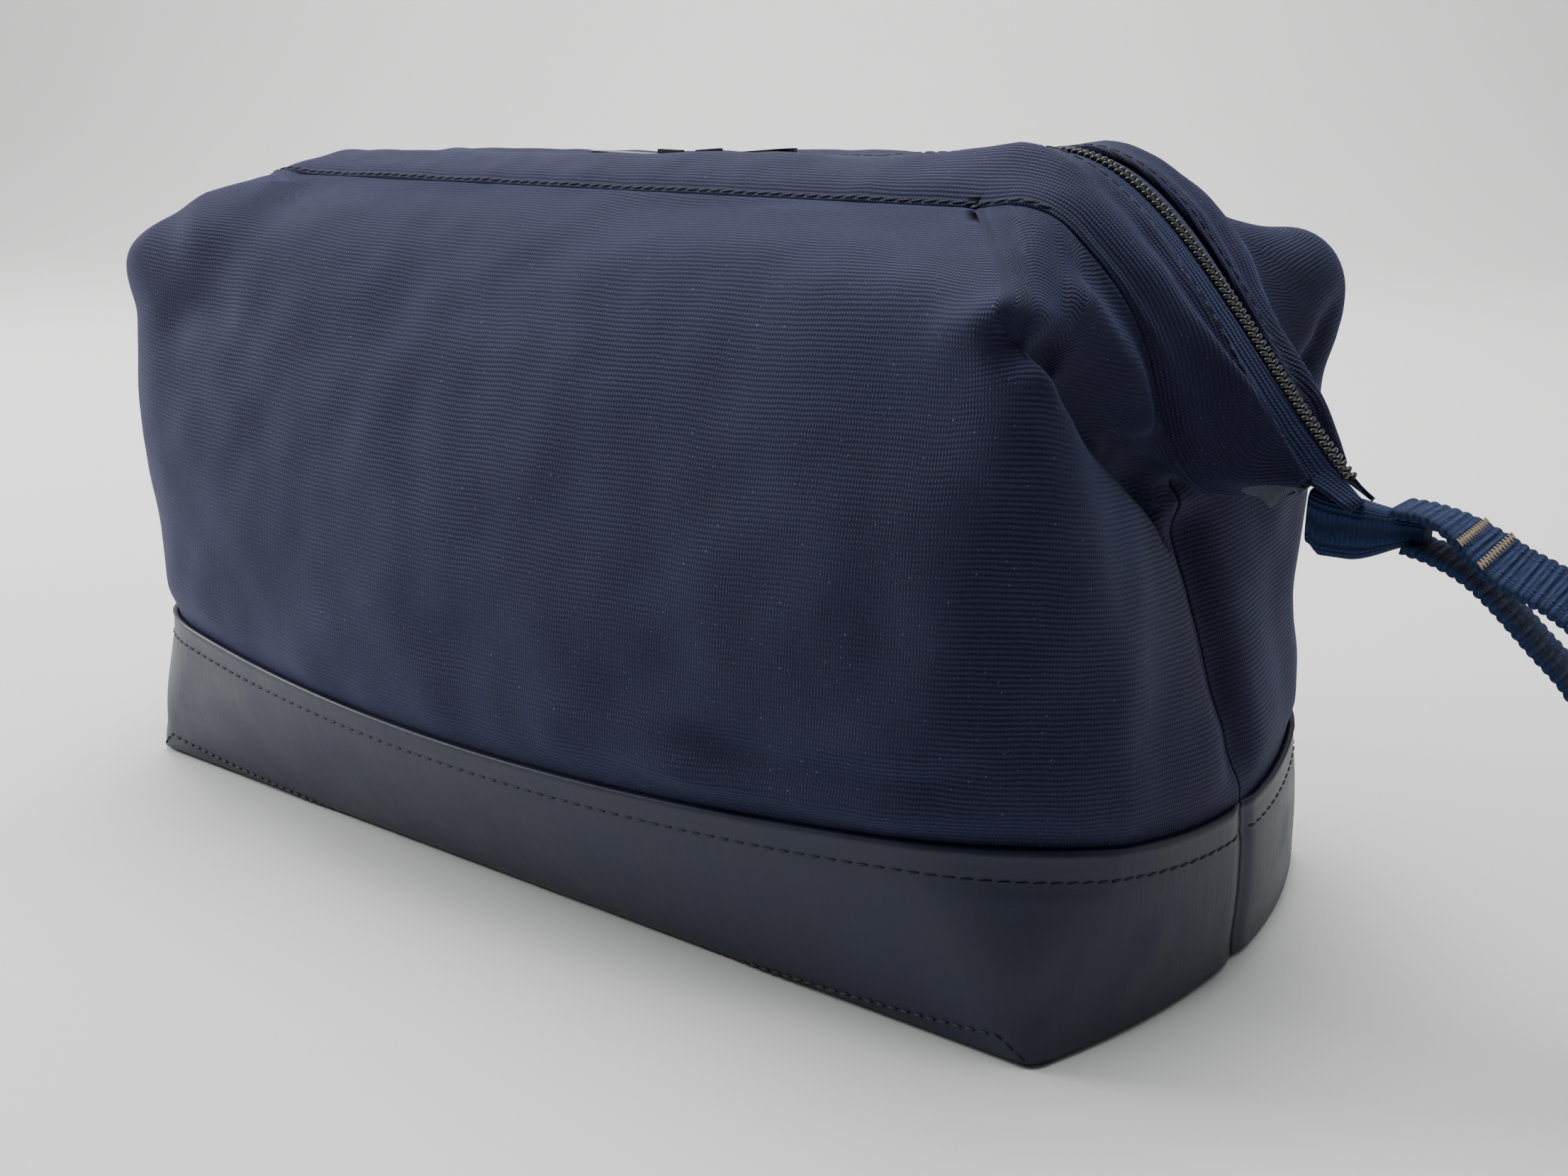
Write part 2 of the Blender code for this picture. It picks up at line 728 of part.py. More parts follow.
def make_wrist_loop(parts, webbing, anchor_end):
    """The free loop of webbing: a hanging teardrop in the XZ plane with its nose at the swing axis."""
    pivot = anchor_end + (loop_gap, -webbing_thickness / 2)
    closed = [*LOOP_OUTER_LEG, *LOOP_INNER_LEG, LOOP_OUTER_LEG[0]]
    centre = [catmull_rom(closed, k * (len(closed) - 1) / loop_points) for k in range(loop_points)]
    half = webbing_thickness / 2
    outside, inside = [], []
    for k, point in enumerate(centre):
        ahead = centre[(k + 1) % loop_points] - centre[k - 1]
        normal = np.array([-ahead[1], ahead[0]]) / np.linalg.norm(ahead)
        outside.append(point + half * normal)
        if np.linalg.norm(point) > throat_clear:
            inside.append(point - half * normal)
    radius = half + nose_ease
    nose = [
        (radius * math.cos(angle), radius * math.sin(angle))
        for angle in np.radians(LOOP_NOSE_DEG)
    ]
    outside = [p for p in outside if np.linalg.norm(p) > half + nose_margin]
    loop = plate_object("wrist_loop", [outside + nose, inside], webbing_width, webbing, parts)
    loop.rotation_euler = (math.pi / 2, 0, 0)
    loop.location = Vector((pivot[0], 0, pivot[1])) * MM


def main():
    clear_scene()
    parts = new_collection("shaving_kit_bag")
    helpers = new_collection("helpers")
    looks = {
        "canvas": material("navy_canvas", (0.018, 0.024, 0.075), 0.8),
        "leather": material("navy_leather", (0.02, 0.026, 0.055), 0.42),
        "lining": material("lining_cloth", (0.09, 0.10, 0.13), 0.85),
        "board": material("stiffening_board", (0.35, 0.30, 0.24), 0.9),
        "tape": material("zip_tape_weave", (0.02, 0.035, 0.13), 0.8),
        "coil": material("zip_coil_nylon", (0.008, 0.010, 0.020), 0.3),
        "steel": material("spring_steel", (0.55, 0.55, 0.56), 0.35, 1.0),
        "zinc": material("dark_zinc", (0.10, 0.10, 0.11), 0.35, 1.0),
        "webbing": material("blue_webbing", (0.025, 0.07, 0.22), 0.75),
        "thread": material("tan_thread", (0.45, 0.34, 0.24), 0.8),
    }
    rows = front_half_rows()
    make_base(rows, parts, looks["leather"], looks["board"])
    make_canvas(rows, parts, looks["canvas"], looks["lining"])
    make_lining_tub(parts, looks["lining"])
    for label, back in (("front", False), ("back", True)):
        make_mouth_half(label, back, parts, looks)
    for label, side in (("left", -1), ("right", 1)):
        make_slider(label, side, parts, helpers, looks)
        make_tab(label, side, parts, looks["tape"])
    anchor_end = make_anchor(parts, looks["webbing"], looks["thread"])
    make_wrist_loop(parts, looks["webbing"], anchor_end)


main()
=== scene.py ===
"""Looks of the wire-frame shaving kit bag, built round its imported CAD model.

Sizes are in millimetres until a mesh is made, in the CAD's own frame: +X runs along the bag to the
end with the wrist loop, -Y is the front, +Z is up. The cloth and leather are lofts through the CAD's
level sections, at a finer step and with the folds of the real fabric. The back is made facing forwards
and then mirrored, with folds of its own in the canvas.
"""

import math

import bpy
import numpy as np
from mathutils import Matrix, Vector, noise


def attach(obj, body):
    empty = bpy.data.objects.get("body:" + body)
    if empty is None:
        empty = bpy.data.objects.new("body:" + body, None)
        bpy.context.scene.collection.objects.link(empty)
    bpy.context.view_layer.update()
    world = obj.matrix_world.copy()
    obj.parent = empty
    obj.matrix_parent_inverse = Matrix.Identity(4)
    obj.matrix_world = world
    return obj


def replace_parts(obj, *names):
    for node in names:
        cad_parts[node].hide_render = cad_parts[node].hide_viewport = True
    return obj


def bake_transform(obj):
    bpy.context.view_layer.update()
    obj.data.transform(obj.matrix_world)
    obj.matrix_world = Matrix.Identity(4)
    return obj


MM = 0.001

# ---- the CAD's own sizes ----
base_half_length = 131.6
base_half_depth = 63.0
base_end = base_half_length + 12.0
leather_height = 36.0
hem_height = 149.5
hem_half_depth = 33.0
ear_height = 136.0
zip_run_half = 95.0
zip_mid_height = 152.0
zip_top = {-1: 154.0, 1: 159.8}
zip_end = 161.6
zip_end_height = 99.2
strip_end = 0.90
hem_turn = 0.30
coil_half_width = 2.7
HANDLES = ((0.38, 0.02), (0.67, 0.69))

# The channel's stitched border on a drop. It closes up to the zip at the shoulder, sags away from it
# beside the ear, and comes back up to the zip's end. Places are shares of the drop.
shoulder_at = 0.30
shoulder_gap = 4.0
border_sag = 17.0
border_sag_at = 0.80
border_sag_width = 0.20
border_back_up_at = 0.98
border_end_depth = 3.4

SECTIONS = [
    dict(front=0.0, z=0.0, corner=(0.0, 0.0, 0.0), round=3.0, end=0.0, end_z=0.0),
    dict(front=9.5, z=0.5, corner=(-2.1, 2.5, 0.52), round=14.0, end=0.7, end_z=0.47),
    dict(front=16.0, z=1.0, corner=(-4.1, 2.5, 1.16), round=24.0, end=-0.6, end_z=0.95),
    dict(front=16.5, z=0.24, corner=(-2.1, 4.5, 0.25), round=26.0, end=-7.1, end_z=0.25),
    dict(front=12.0, z=0.52, corner=(-0.1, 6.0, 0.54), round=24.0, end=-13.1, end_z=0.45),
    dict(front=2.0, z=0.81, corner=(-0.1, 5.0, 0.81), round=19.0, end=-17.6, end_z=0.56),
    dict(front=-12.0, z=1.02, corner=(-2.6, 2.0, 1.0), round=12.0, end=-20.1, end_z=0.62),
]
LEATHER_TOP = 2

# ---- how finely the cloth is divided ----
front_columns = 44
corner_columns = 34
end_columns = 50
leather_rows = 26
canvas_rows = 120

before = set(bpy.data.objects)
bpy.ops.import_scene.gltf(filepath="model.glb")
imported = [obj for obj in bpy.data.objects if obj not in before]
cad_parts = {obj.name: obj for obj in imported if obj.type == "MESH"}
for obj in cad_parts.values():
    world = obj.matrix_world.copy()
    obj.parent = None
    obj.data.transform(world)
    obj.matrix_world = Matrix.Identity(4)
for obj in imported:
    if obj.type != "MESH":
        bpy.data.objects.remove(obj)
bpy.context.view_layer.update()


def blend(a, b, t):
    return a + (b - a) * t


def smooth(low, high, x):
    t = np.clip((x - low) / (high - low), 0.0, 1.0)
    return t * t * (3 - 2 * t)


def bell(x, width):
    return np.exp(-((x / width) ** 2))


def catmull_rom(rows, at):
    """The point, or row of points, at parameter `at` on a smooth curve through rows[0], rows[1], ..."""
    last = len(rows) - 1
    k = min(int(at), last - 1)
    t = at - k
    a, b = rows[k], rows[k + 1]
    before = rows[k - 1] if k > 0 else 2 * a - b
    after = rows[k + 2] if k + 2 <= last else 2 * b - a
    return 0.5 * (
        2 * a
        + (b - before) * t
        + (2 * before - 5 * a + 4 * b - after) * t**2
        + (3 * a - before - 3 * b + after) * t**3
    )


# ---- the zip's route and the lines of the mouth ----

def zip_point(side, u):
    """(x, z) of the zip: u from -1 to 0 is the straight run from the middle, 0 to 1 the drop down an end."""
    top = zip_top[side]
    if u <= 0:
        return np.array([side * (1 + u) * zip_run_half, blend(zip_mid_height, top, 1 + u)])
    a = np.array([zip_run_half, top])
    d = np.array([zip_end, zip_end_height])
    b, c = (a + np.array(share) * (d - a) for share in HANDLES)
    x, z = (1 - u) ** 3 * a + 3 * (1 - u) ** 2 * u * b + 3 * (1 - u) * u**2 * c + u**3 * d
    return np.array([side * x, z])


def zip_normal(side, u):
    near, far = zip_point(side, min(u + 0.01, 1.0) - 0.02), zip_point(side, min(u + 0.01, 1.0))
    ahead = far - near
    out = side * np.array([-ahead[1], ahead[0]])
    return out / np.linalg.norm(out)


def beside_zip(side, u, depth, drop):
    x, z = zip_point(side, u) - drop * zip_normal(side, u)
    return np.array([x, -depth, z])


def along_strip(u):
    return min(max(u / strip_end, 0.0), 1.0)


def closing_in(start, end, way):
    return end + (start - end) * math.cos(0.5 * math.pi * way)


def hem_line(side, u):
    """The channel's stitched border. Both ends have the same one, set out from the right end's zip."""
    if u <= 0:
        return beside_zip(side, u, hem_half_depth, zip_point(side, u)[1] - hem_height)
    gap = blend(zip_top[1] - hem_height, shoulder_gap, smooth(0.0, shoulder_at, u))
    sag = border_sag * bell(u - border_sag_at, border_sag_width)
    gap += sag * (1 - smooth(border_sag_at, border_back_up_at, u))
    depth = closing_in(hem_half_depth, border_end_depth, along_strip(u) ** 1.7)
    x, y, z = beside_zip(1, u, depth, gap)
    return np.array([side * x, y, z])


def crest_line(side, u):
    way = along_strip(u)
    rise = blend(4.0, 0.6, min(1.0, 1 + u)) - (2.4 * bell(u + 0.32, 0.26) if side > 0 else 0.0)
    return beside_zip(side, u, closing_in(19.8, 8.0, way**1.5), blend(-rise, 7.03, way**2))


def tape_line(side, u):
    way = along_strip(u)
    rise = blend(1.5, 0.3, min(1.0, 1 + u))
    return beside_zip(side, u, blend(9.0, 6.0, way**3), blend(-rise, 3.61, way**2))


def both_sides(quarter):
    return [(-1, u) for u in reversed(quarter)] + [(1, u) for u in quarter[1:]]


def hem_stations():
    runs = [-1 + 0.98 * k / front_columns for k in range(front_columns)]
    turn = [hem_turn * k / corner_columns for k in range(corner_columns + 1)]
    drop = [blend(hem_turn, strip_end, k / end_columns) for k in range(1, end_columns + 1)]
    return both_sides(runs + turn + drop)


# ---- level sections of the shell ----

def sized(index):
    row = SECTIONS[index]
    low, high = (0.0, leather_height) if index <= LEATHER_TOP else (leather_height, ear_height)
    cx, cy, cz = row["corner"]
    return dict(
        front=base_half_depth + row["front"],
        z=blend(low, high, row["z"]),
        corner=(base_half_length + cx, base_half_depth + cy, blend(low, high, cz)),
        round=row["round"],
        end=base_end + row["end"],
        end_z=blend(low, high, row["end_z"]),
    )


def quarter_section(size, inset, gap):
    """The right front quarter of a section, from the middle of the front to the end seam."""
    cx, cy, cz = size["corner"]

    def front_edge(x):
        share = 1 - (x / (cx - inset)) ** 2
        return np.array([x, -blend(cy, size["front"], share) + inset, blend(cz, size["z"], share)])

    def end_edge(y):
        share = 1 - (y / (cy - inset)) ** 2
        return np.array([blend(cx, size["end"], share) - inset, -y, blend(cz, size["end_z"], share)])

    turn_x, turn_y = cx - inset - size["round"], cy - inset - size["round"]
    start, stop = front_edge(turn_x), end_edge(turn_y)
    corner = np.array([cx - inset, -cy + inset, cz])
    points = [front_edge(turn_x * k / front_columns) for k in range(front_columns)]
    for k in range(corner_columns + 1):
        t = k / corner_columns
        points.append((1 - t) ** 2 * start + 2 * t * (1 - t) * corner + t**2 * stop)
    for k in range(1, end_columns + 1):
        points.append(end_edge(blend(turn_y, gap, k / end_columns)))
    return np.array(points)


def half_sections(inset=0.0, gap=0.3):
    halves = []
    for index in range(len(SECTIONS)):
        quarter = quarter_section(sized(index), inset, gap)
        halves.append(np.vstack([quarter[:0:-1] * (-1, 1, 1), quarter]))
    return halves


# ---- grids of points, rows from the floor up and columns from left to right ----

def loft(rows, first, last, count):
    return np.array([catmull_rom(rows, blend(first, last, k / count)) for k in range(count + 1)])


def normals_of(grid):
    """Unit normals that point out of the bag's front."""
    along = np.gradient(grid, axis=1)
    up = np.gradient(grid, axis=0)
    out = np.cross(along, up)
    return out / np.maximum(np.linalg.norm(out, axis=2, keepdims=True), 1e-9)


def lengths_of(grid):
    """(distance along the rows, distance up the columns) of each point."""
    along = np.linalg.norm(np.diff(grid, axis=1), axis=2)
    up = np.linalg.norm(np.diff(grid, axis=0), axis=2)
    across = np.pad(np.cumsum(along, axis=1), ((0, 0), (1, 0)))
    middle = grid.shape[1] // 2
    return across - across[:, middle : middle + 1], np.pad(np.cumsum(up, axis=0), ((1, 0), (0, 0)))


def far_from(grid, line):
    """(distance to a polyline, share of its length at the nearest point) for each point of the grid."""
    line = np.asarray(line, float)
    steps = np.linalg.norm(np.diff(line, axis=0), axis=1)
    total, walked = steps.sum(), 0.0
    best = np.full(grid.shape[:2], 1e9)
    share = np.zeros(grid.shape[:2])
    for a, b, step in zip(line[:-1], line[1:], steps):
        t = np.clip(((grid - a) @ (b - a)) / step**2, 0, 1)
        gap = np.linalg.norm(grid - (a + t[..., None] * (b - a)), axis=2)
        nearer = gap < best
        best = np.where(nearer, gap, best)
        share = np.where(nearer, (walked + t * step) / total, share)
        walked += step
    return best, share


def push(grid, line, width, height, fade=0.25):
    """Moves the cloth by `height` along its normals near a polyline, fading towards the line's ends."""
    gap, share = far_from(grid, line)
    ends = smooth(0, fade, share) * smooth(0, fade, 1 - share) if fade else 1.0
    return grid + normals_of(grid) * (height * bell(gap, width) * ends)[..., None]


def ripple(grid, size, height, seed):
    """Soft uneven waves over the cloth, in lumps of about `size`."""
    moved = grid.copy()
    normals = normals_of(grid)
    start = Vector((seed, 0, 0))
    for r in range(grid.shape[0]):
        for c in range(grid.shape[1]):
            wave = noise.noise(Vector(grid[r, c] / size) + start)
            moved[r, c] += normals[r, c] * height * wave
    return moved


def seam_turn(grid, depth, width=7.0):
    """Rounds both half panels in at the end seams, so that a valley runs down each end."""
    across, up = lengths_of(grid)
    rise = smooth(0.0, 12.0, up) * (1 - smooth(86.0, 95.0, grid[..., 2]))
    turned = grid.copy()
    turned[..., 0] -= depth * rise * bell(across[:, -1:] - across, width)
    turned[..., 0] += depth * rise * bell(across - across[:, :1], width)
    return turned


# ---- materials ----

def look(name):
    made = bpy.data.materials.new(name)
    made.use_nodes = True
    return made, made.node_tree, made.node_tree.nodes["Principled BSDF"]


def add(tree, kind, out=None, **settings):
    """A node with its inputs set or linked: keys are input names, or i0, i1 for numbered inputs."""
    node = tree.nodes.new("ShaderNode" + kind)
    for key, value in settings.items():
        if key.startswith("set_"):
            setattr(node, key[4:], value)
            continue
        numbered = key[0] == "i" and key[1:].isdigit()
        socket = node.inputs[int(key[1:]) if numbered else key.replace("_", " ")]
        if isinstance(value, bpy.types.NodeSocket):
            tree.links.new(value, socket)
        else:
            socket.default_value = value
    return node


def math_node(tree, operation, a, b=0.0):
    return add(tree, "Math", set_operation=operation, i0=a, i1=b).outputs[0]


def mix_colours(tree, amount, a, b):
    node = add(tree, "Mix", set_data_type="RGBA", i0=amount)
    colour_inputs = node.inputs[6], node.inputs[7]
    for socket, value in zip(colour_inputs, (a, b)):
        if isinstance(value, bpy.types.NodeSocket):
            tree.links.new(value, socket)
        else:
            socket.default_value = (*value, 1.0)
    return node.outputs[2]


def ranged(tree, value, low, high, to_low=0.0, to_high=1.0):
    return add(
        tree, "MapRange", Value=value, From_Min=low, From_Max=high, To_Min=to_low, To_Max=to_high
    ).outputs[0]


def in_millimetres(tree, source="UV"):
    """The cloth's own coordinates, or the object's, in millimetres."""
    place = add(tree, "TexCoord").outputs[source]
    return add(tree, "Mapping", Vector=place, Scale=(1000, 1000, 1000)).outputs[0]


def stripes(tree, place, axis, pitch, wobble=0.0):
    """Even ridges across `axis`, from 0 in a valley to 1 on a ridge."""
    return add(
        tree, "TexWave", set_wave_type="BANDS", set_bands_direction=axis, Vector=place,
        Scale=0.31416 / pitch, Distortion=wobble, Detail=1.0, Detail_Scale=0.6,
    ).outputs["Fac"]


def speckle(tree, place, size, detail=2.0):
    return add(tree, "TexNoise", Vector=place, Scale=1 / size, Detail=detail, Roughness=0.55).outputs["Fac"]


def bumped(tree, shader, height, depth, strength=1.0):
    bump = add(tree, "Bump", Height=height, Distance=depth * MM, Strength=strength)
    tree.links.new(bump.outputs[0], shader.inputs["Normal"])


def woven(name, dark, light, pitch, cross_pitch, depth, sheen, specks=0.0, roughness=(0.62, 0.8)):
    """Ribbed cloth: ridges along the cloth's length, each broken into yarns across. Its colour is darker in
    the weave's valleys than on its ridges, a painted shade, with a random fibre tone on top.
    """
    made, tree, shader = look(name)
    place = in_millimetres(tree)
    ribs = stripes(tree, place, "Y", pitch, 1.6)
    yarns = stripes(tree, place, "X", cross_pitch, 2.2)
    fibres = speckle(tree, place, 0.35)
    blotches = speckle(tree, place, 26.0, 4.0)
    weave = math_node(tree, "MULTIPLY", ribs, ranged(tree, yarns, 0, 1, 0.45, 1.0))
    height = math_node(tree, "ADD", weave, math_node(tree, "MULTIPLY", fibres, 0.6))
    # Painted shade: the colour darkens into the weave's valleys and is lighter on its ridges, plus a random
    # fibre tone.
    colour = mix_colours(tree, ranged(tree, height, 0.1, 1.2, 0.0, 1.0), dark, light)
    worn = tuple(min(1.0, 1.35 * c + 0.006) for c in light)
    colour = mix_colours(tree, ranged(tree, blotches, 0.42, 0.75, 0.0, 0.25), colour, worn)
    if specks:
        dots = speckle(tree, place, 0.62, 0.0)
        colour = mix_colours(tree, ranged(tree, dots, 0.80, 0.86, 0.0, specks), colour, (0.20, 0.22, 0.32))
    tree.links.new(colour, shader.inputs["Base Color"])
    tree.links.new(ranged(tree, fibres, 0.3, 0.7, *roughness), shader.inputs["Roughness"])
    shader.inputs["Sheen Weight"].default_value = sheen
    shader.inputs["Sheen Roughness"].default_value = 0.45
    shader.inputs["Sheen Tint"].default_value = (0.42, 0.50, 1.0, 1.0)
    shader.inputs["Specular IOR Level"].default_value = 0.2
    bumped(tree, shader, height, depth)
    return made


def leather_look():
    made, tree, shader = look("navy_faux_leather")
    place = in_millimetres(tree)
    pores = speckle(tree, place, 0.5, 3.0)
    grain = add(tree, "TexVoronoi", set_feature="DISTANCE_TO_EDGE", Vector=place, Scale=0.9).outputs[0]
    slanted = add(tree, "Mapping", Vector=place, Rotation=(0, 0, 0.75), Scale=(0.5, 0.07, 1)).outputs[0]
    wrinkles = add(tree, "TexNoise", Vector=slanted, Scale=0.8, Detail=3.0, Roughness=0.6).outputs["Fac"]
    clouds = speckle(tree, place, 18.0, 4.0)
    pored = math_node(tree, "MULTIPLY", pores, 0.22)
    grained = math_node(tree, "MULTIPLY", grain, 0.25)
    height = math_node(tree, "ADD", math_node(tree, "ADD", pored, grained), wrinkles)
    dark, light = (0.0085, 0.0125, 0.0300), (0.0130, 0.0185, 0.0420)
    colour = mix_colours(tree, ranged(tree, clouds, 0.35, 0.7), dark, light)
    tree.links.new(colour, shader.inputs["Base Color"])
    tree.links.new(ranged(tree, clouds, 0.3, 0.7, 0.42, 0.56), shader.inputs["Roughness"])
    shader.inputs["Specular IOR Level"].default_value = 0.36
    shader.inputs["Coat Weight"].default_value = 0.06
    shader.inputs["Coat Roughness"].default_value = 0.38
    bumped(tree, shader, height, 0.12, 0.8)
    return made


def moulded(name, dark, light, roughness, metallic=0.0, grain=0.4, depth=0.03):
    """Nylon, enamel, thread, board and wire: two tones and a fine grain."""
    made, tree, shader = look(name)
    place = in_millimetres(tree, "Object")
    spots = speckle(tree, place, grain, 3.0)
    colour = mix_colours(tree, ranged(tree, spots, 0.35, 0.7), dark, light)
    tree.links.new(colour, shader.inputs["Base Color"])
    dullest = min(1.0, roughness + 0.15)
    tree.links.new(ranged(tree, spots, 0.3, 0.7, roughness, dullest), shader.inputs["Roughness"])
    shader.inputs["Metallic"].default_value = metallic
    bumped(tree, shader, spots, depth)
    return made


looks = {
    "canvas": woven(
        "navy_canvas", (0.0072, 0.0080, 0.0270), (0.0135, 0.0155, 0.0520), 1.0, 0.62, 0.20, 0.14, specks=0.45,
    ),
    "lining": woven("lining_cloth", (0.05, 0.055, 0.075), (0.12, 0.13, 0.17), 0.5, 0.5, 0.12, 0.1),
    "tape": woven("zip_tape_weave", (0.0045, 0.007, 0.026), (0.014, 0.022, 0.075), 1.0, 0.7, 0.3, 0.2),
    "webbing": woven("blue_webbing", (0.0045, 0.0095, 0.032), (0.017, 0.040, 0.120), 1.2, 0.9, 0.35, 0.2),
    "leather": leather_look(),
    "coil": moulded("zip_coil_nylon", (0.0015, 0.002, 0.004), (0.003, 0.004, 0.008), 0.3),
    "thread": moulded("navy_thread", (0.003, 0.004, 0.010), (0.009, 0.011, 0.025), 0.6),
    "tan": moulded("tan_thread", (0.24, 0.18, 0.13), (0.42, 0.34, 0.26), 0.75, grain=0.3, depth=0.1),
    "board": moulded("stiffening_board", (0.30, 0.25, 0.19), (0.42, 0.36, 0.28), 0.85, grain=1.5, depth=0.1),
    "steel": moulded("spring_steel", (0.48, 0.48, 0.50), (0.62, 0.62, 0.63), 0.28, 1.0),
    "zinc": moulded("dark_enamelled_zinc", (0.030, 0.032, 0.040), (0.055, 0.058, 0.070), 0.28, 0.6),
}


# ---- making pieces ----

def mesh_piece(name, points, faces, made_of, uvs=None):
    mesh = bpy.data.meshes.new(name)
    mesh.from_pydata((np.asarray(points, float) * MM).tolist(), [], faces)
    mesh.materials.append(looks[made_of])
    mesh.shade_smooth()
    if uvs is not None:
        layer = mesh.uv_layers.new(name="cloth")
        corners = np.zeros(len(mesh.loops), np.int32)
        mesh.loops.foreach_get("vertex_index", corners)
        layer.data.foreach_set("uv", (np.asarray(uvs, float) * MM)[corners].astype(np.float32).ravel())
    piece = bpy.data.objects.new(name, mesh)
    bpy.context.scene.collection.objects.link(piece)
    return piece


def grid_faces(rows, columns, flip=False, closed=False):
    last = columns if closed else columns - 1
    r, c = np.meshgrid(np.arange(rows - 1), np.arange(last), indexing="ij")
    d = (c + 1) % columns
    below, above = r * columns, (r + 1) * columns
    quads = np.stack([below + c, below + d, above + d, above + c], axis=-1).reshape(-1, 4)
    return (quads[:, ::-1] if flip else quads).tolist()


def cloth_piece(name, grid, thickness, made_of, back=False):
    """A sheet through a grid of points on the front, or its mirror at the back."""
    across, up = lengths_of(grid)
    shown = grid * (1, -1, 1) if back else grid
    flat = np.stack([across.ravel(), up.ravel()], axis=1)
    faces = grid_faces(*grid.shape[:2], flip=back)
    piece = mesh_piece(name, shown.reshape(-1, 3), faces, made_of, flat)
    if thickness:
        solid = piece.modifiers.new("thickness", "SOLIDIFY")
        solid.thickness = thickness * MM
        solid.offset = -1
    return piece


def swept(name, rings, made_of, uvs):
    """A tube through its rings of points, closed at both ends."""
    rings = np.asarray(rings, float)
    count = rings.shape[1]
    faces = grid_faces(len(rings), count, closed=True)
    faces.append(list(range(count))[::-1])
    faces.append([(len(rings) - 1) * count + k for k in range(count)])
    return mesh_piece(name, rings.reshape(-1, 3), faces, made_of, uvs)


def resampled(line, pitch):
    """Points every `pitch` along a polyline, with the directions there."""
    line = np.asarray(line, float)
    walked = np.concatenate([[0], np.cumsum(np.linalg.norm(np.diff(line, axis=0), axis=1))])
    count = max(2, int(walked[-1] / pitch))
    at = (np.arange(count) + 0.5) * walked[-1] / count
    points = np.stack([np.interp(at, walked, line[:, k]) for k in range(3)], axis=1)
    ahead = np.stack([np.interp(at + 0.3, walked, line[:, k]) for k in range(3)], axis=1)
    behind = np.stack([np.interp(at - 0.3, walked, line[:, k]) for k in range(3)], axis=1)
    ways = ahead - behind
    return points, ways / np.linalg.norm(ways, axis=1, keepdims=True), at / walked[-1]


def capsules(name, middles, ways, outs, half_length, radius, height, made_of, back=False):
    """Many small rounded bars in one mesh: stitches and zip teeth."""
    sides, rings = 8, ((-1.0, 0.25), (-0.82, 0.8), (-0.35, 1.0), (0.35, 1.0), (0.82, 0.8), (1.0, 0.25))
    angles = 2 * np.pi * np.arange(sides) / sides
    points, faces = [], []
    for middle, way, out in zip(middles, ways, outs):
        side = np.cross(way, out)
        side = side / np.linalg.norm(side)
        up = np.cross(side, way)
        start = len(points)
        for shift, swell in rings:
            for angle in angles:
                wide = radius * swell * math.cos(angle) * side + height * swell * math.sin(angle) * up
                points.append(middle + shift * half_length * way + wide)
        for r in range(len(rings) - 1):
            for k in range(sides):
                n = (k + 1) % sides
                a, b = start + r * sides, start + (r + 1) * sides
                faces.append((a + k, a + n, b + n, b + k))
        faces.append(tuple(start + k for k in range(sides))[::-1])
        faces.append(tuple(start + (len(rings) - 1) * sides + k for k in range(sides)))
    points = np.array(points)
    if back:
        points = points * (1, -1, 1)
        faces = [face[::-1] for face in faces]
    return mesh_piece(name, points, faces, made_of)


def stitches(name, line, outs, body, back=False, pitch=3.3, length=2.5, radius=0.3, slant=0.12):
    """A row of lockstitches on a polyline with a normal at each of its points."""
    line, outs = np.asarray(line, float), np.asarray(outs, float)
    middles, ways, shares = resampled(line, pitch)
    at = np.linspace(0, 1, len(outs))
    lift = np.stack([np.interp(shares, at, outs[:, k]) for k in range(3)], axis=1)
    lift = lift / np.linalg.norm(lift, axis=1, keepdims=True)
    ways = ways + slant * np.cross(lift, ways)
    ways = ways / np.linalg.norm(ways, axis=1, keepdims=True)
    places = middles + 0.05 * lift
    piece = capsules(name, places, ways, lift, length / 2, radius, radius, "thread", back)
    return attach(piece, body)


# ---- leather base ----

# Creases at the boxed corners, as (points as x, depth, z on the right half, width, height).
CORNER_CREASES = (
    (((118, 74, 3), (127, 71, 12), (129, 68, 24)), 4.0, 1.0),
    (((128, 68, 4), (135, 60, 14), (139, 52, 27)), 3.2, -0.9),
    (((139, 46, 4), (143, 38, 12), (144, 28, 22)), 4.0, 0.7),
)


# How the leather turns under the bag, as (inset, rise), and where its top stitching runs.
TURNED_UNDER = ((7.0, 0.7), (3.2, 0.35), (1.1, 0.3))
top_stitching_at = 6.0


def leather_grid():
    rows = half_sections(0.0, 0.2)
    turned = [half_sections(inset, 0.2)[0] + (0, 0, rise) for inset, rise in TURNED_UNDER]
    body = loft(rows, 0.05, 2.0, leather_rows)
    grid = np.concatenate([turned, body])
    outs = normals_of(grid)
    up = lengths_of(grid)[1]
    below_top = up[-1:] - up
    stitched = bell(top_stitching_at - below_top, 1.1)
    lip = smooth(1.6, 0.0, below_top)
    grid = seam_turn(grid + outs * (0.35 * lip - 0.3 * stitched)[..., None], 1.3, 3.0)
    keep = smooth(2.0, 12.0, grid[..., 2]) * smooth(0.0, 5.0, leather_height - grid[..., 2])
    for side in (-1, 1):
        for points, width, height in CORNER_CREASES:
            creased = push(grid, [(side * x, -depth, z) for x, depth, z in points], width, height)
            grid = grid + (creased - grid) * keep[..., None]
    return grid


def at_height(grid, below_top):
    """The line of points a given distance below the top edge of a grid, with normals."""
    up = lengths_of(grid)[1]
    outs = normals_of(grid)
    line, lifts = [], []
    for c in range(grid.shape[1]):
        goal = up[-1, c] - below_top
        line.append([np.interp(goal, up[:, c], grid[:, c, k]) for k in range(3)])
        lifts.append([np.interp(goal, up[:, c], outs[:, c, k]) for k in range(3)])
    return np.array(line), np.array(lifts)


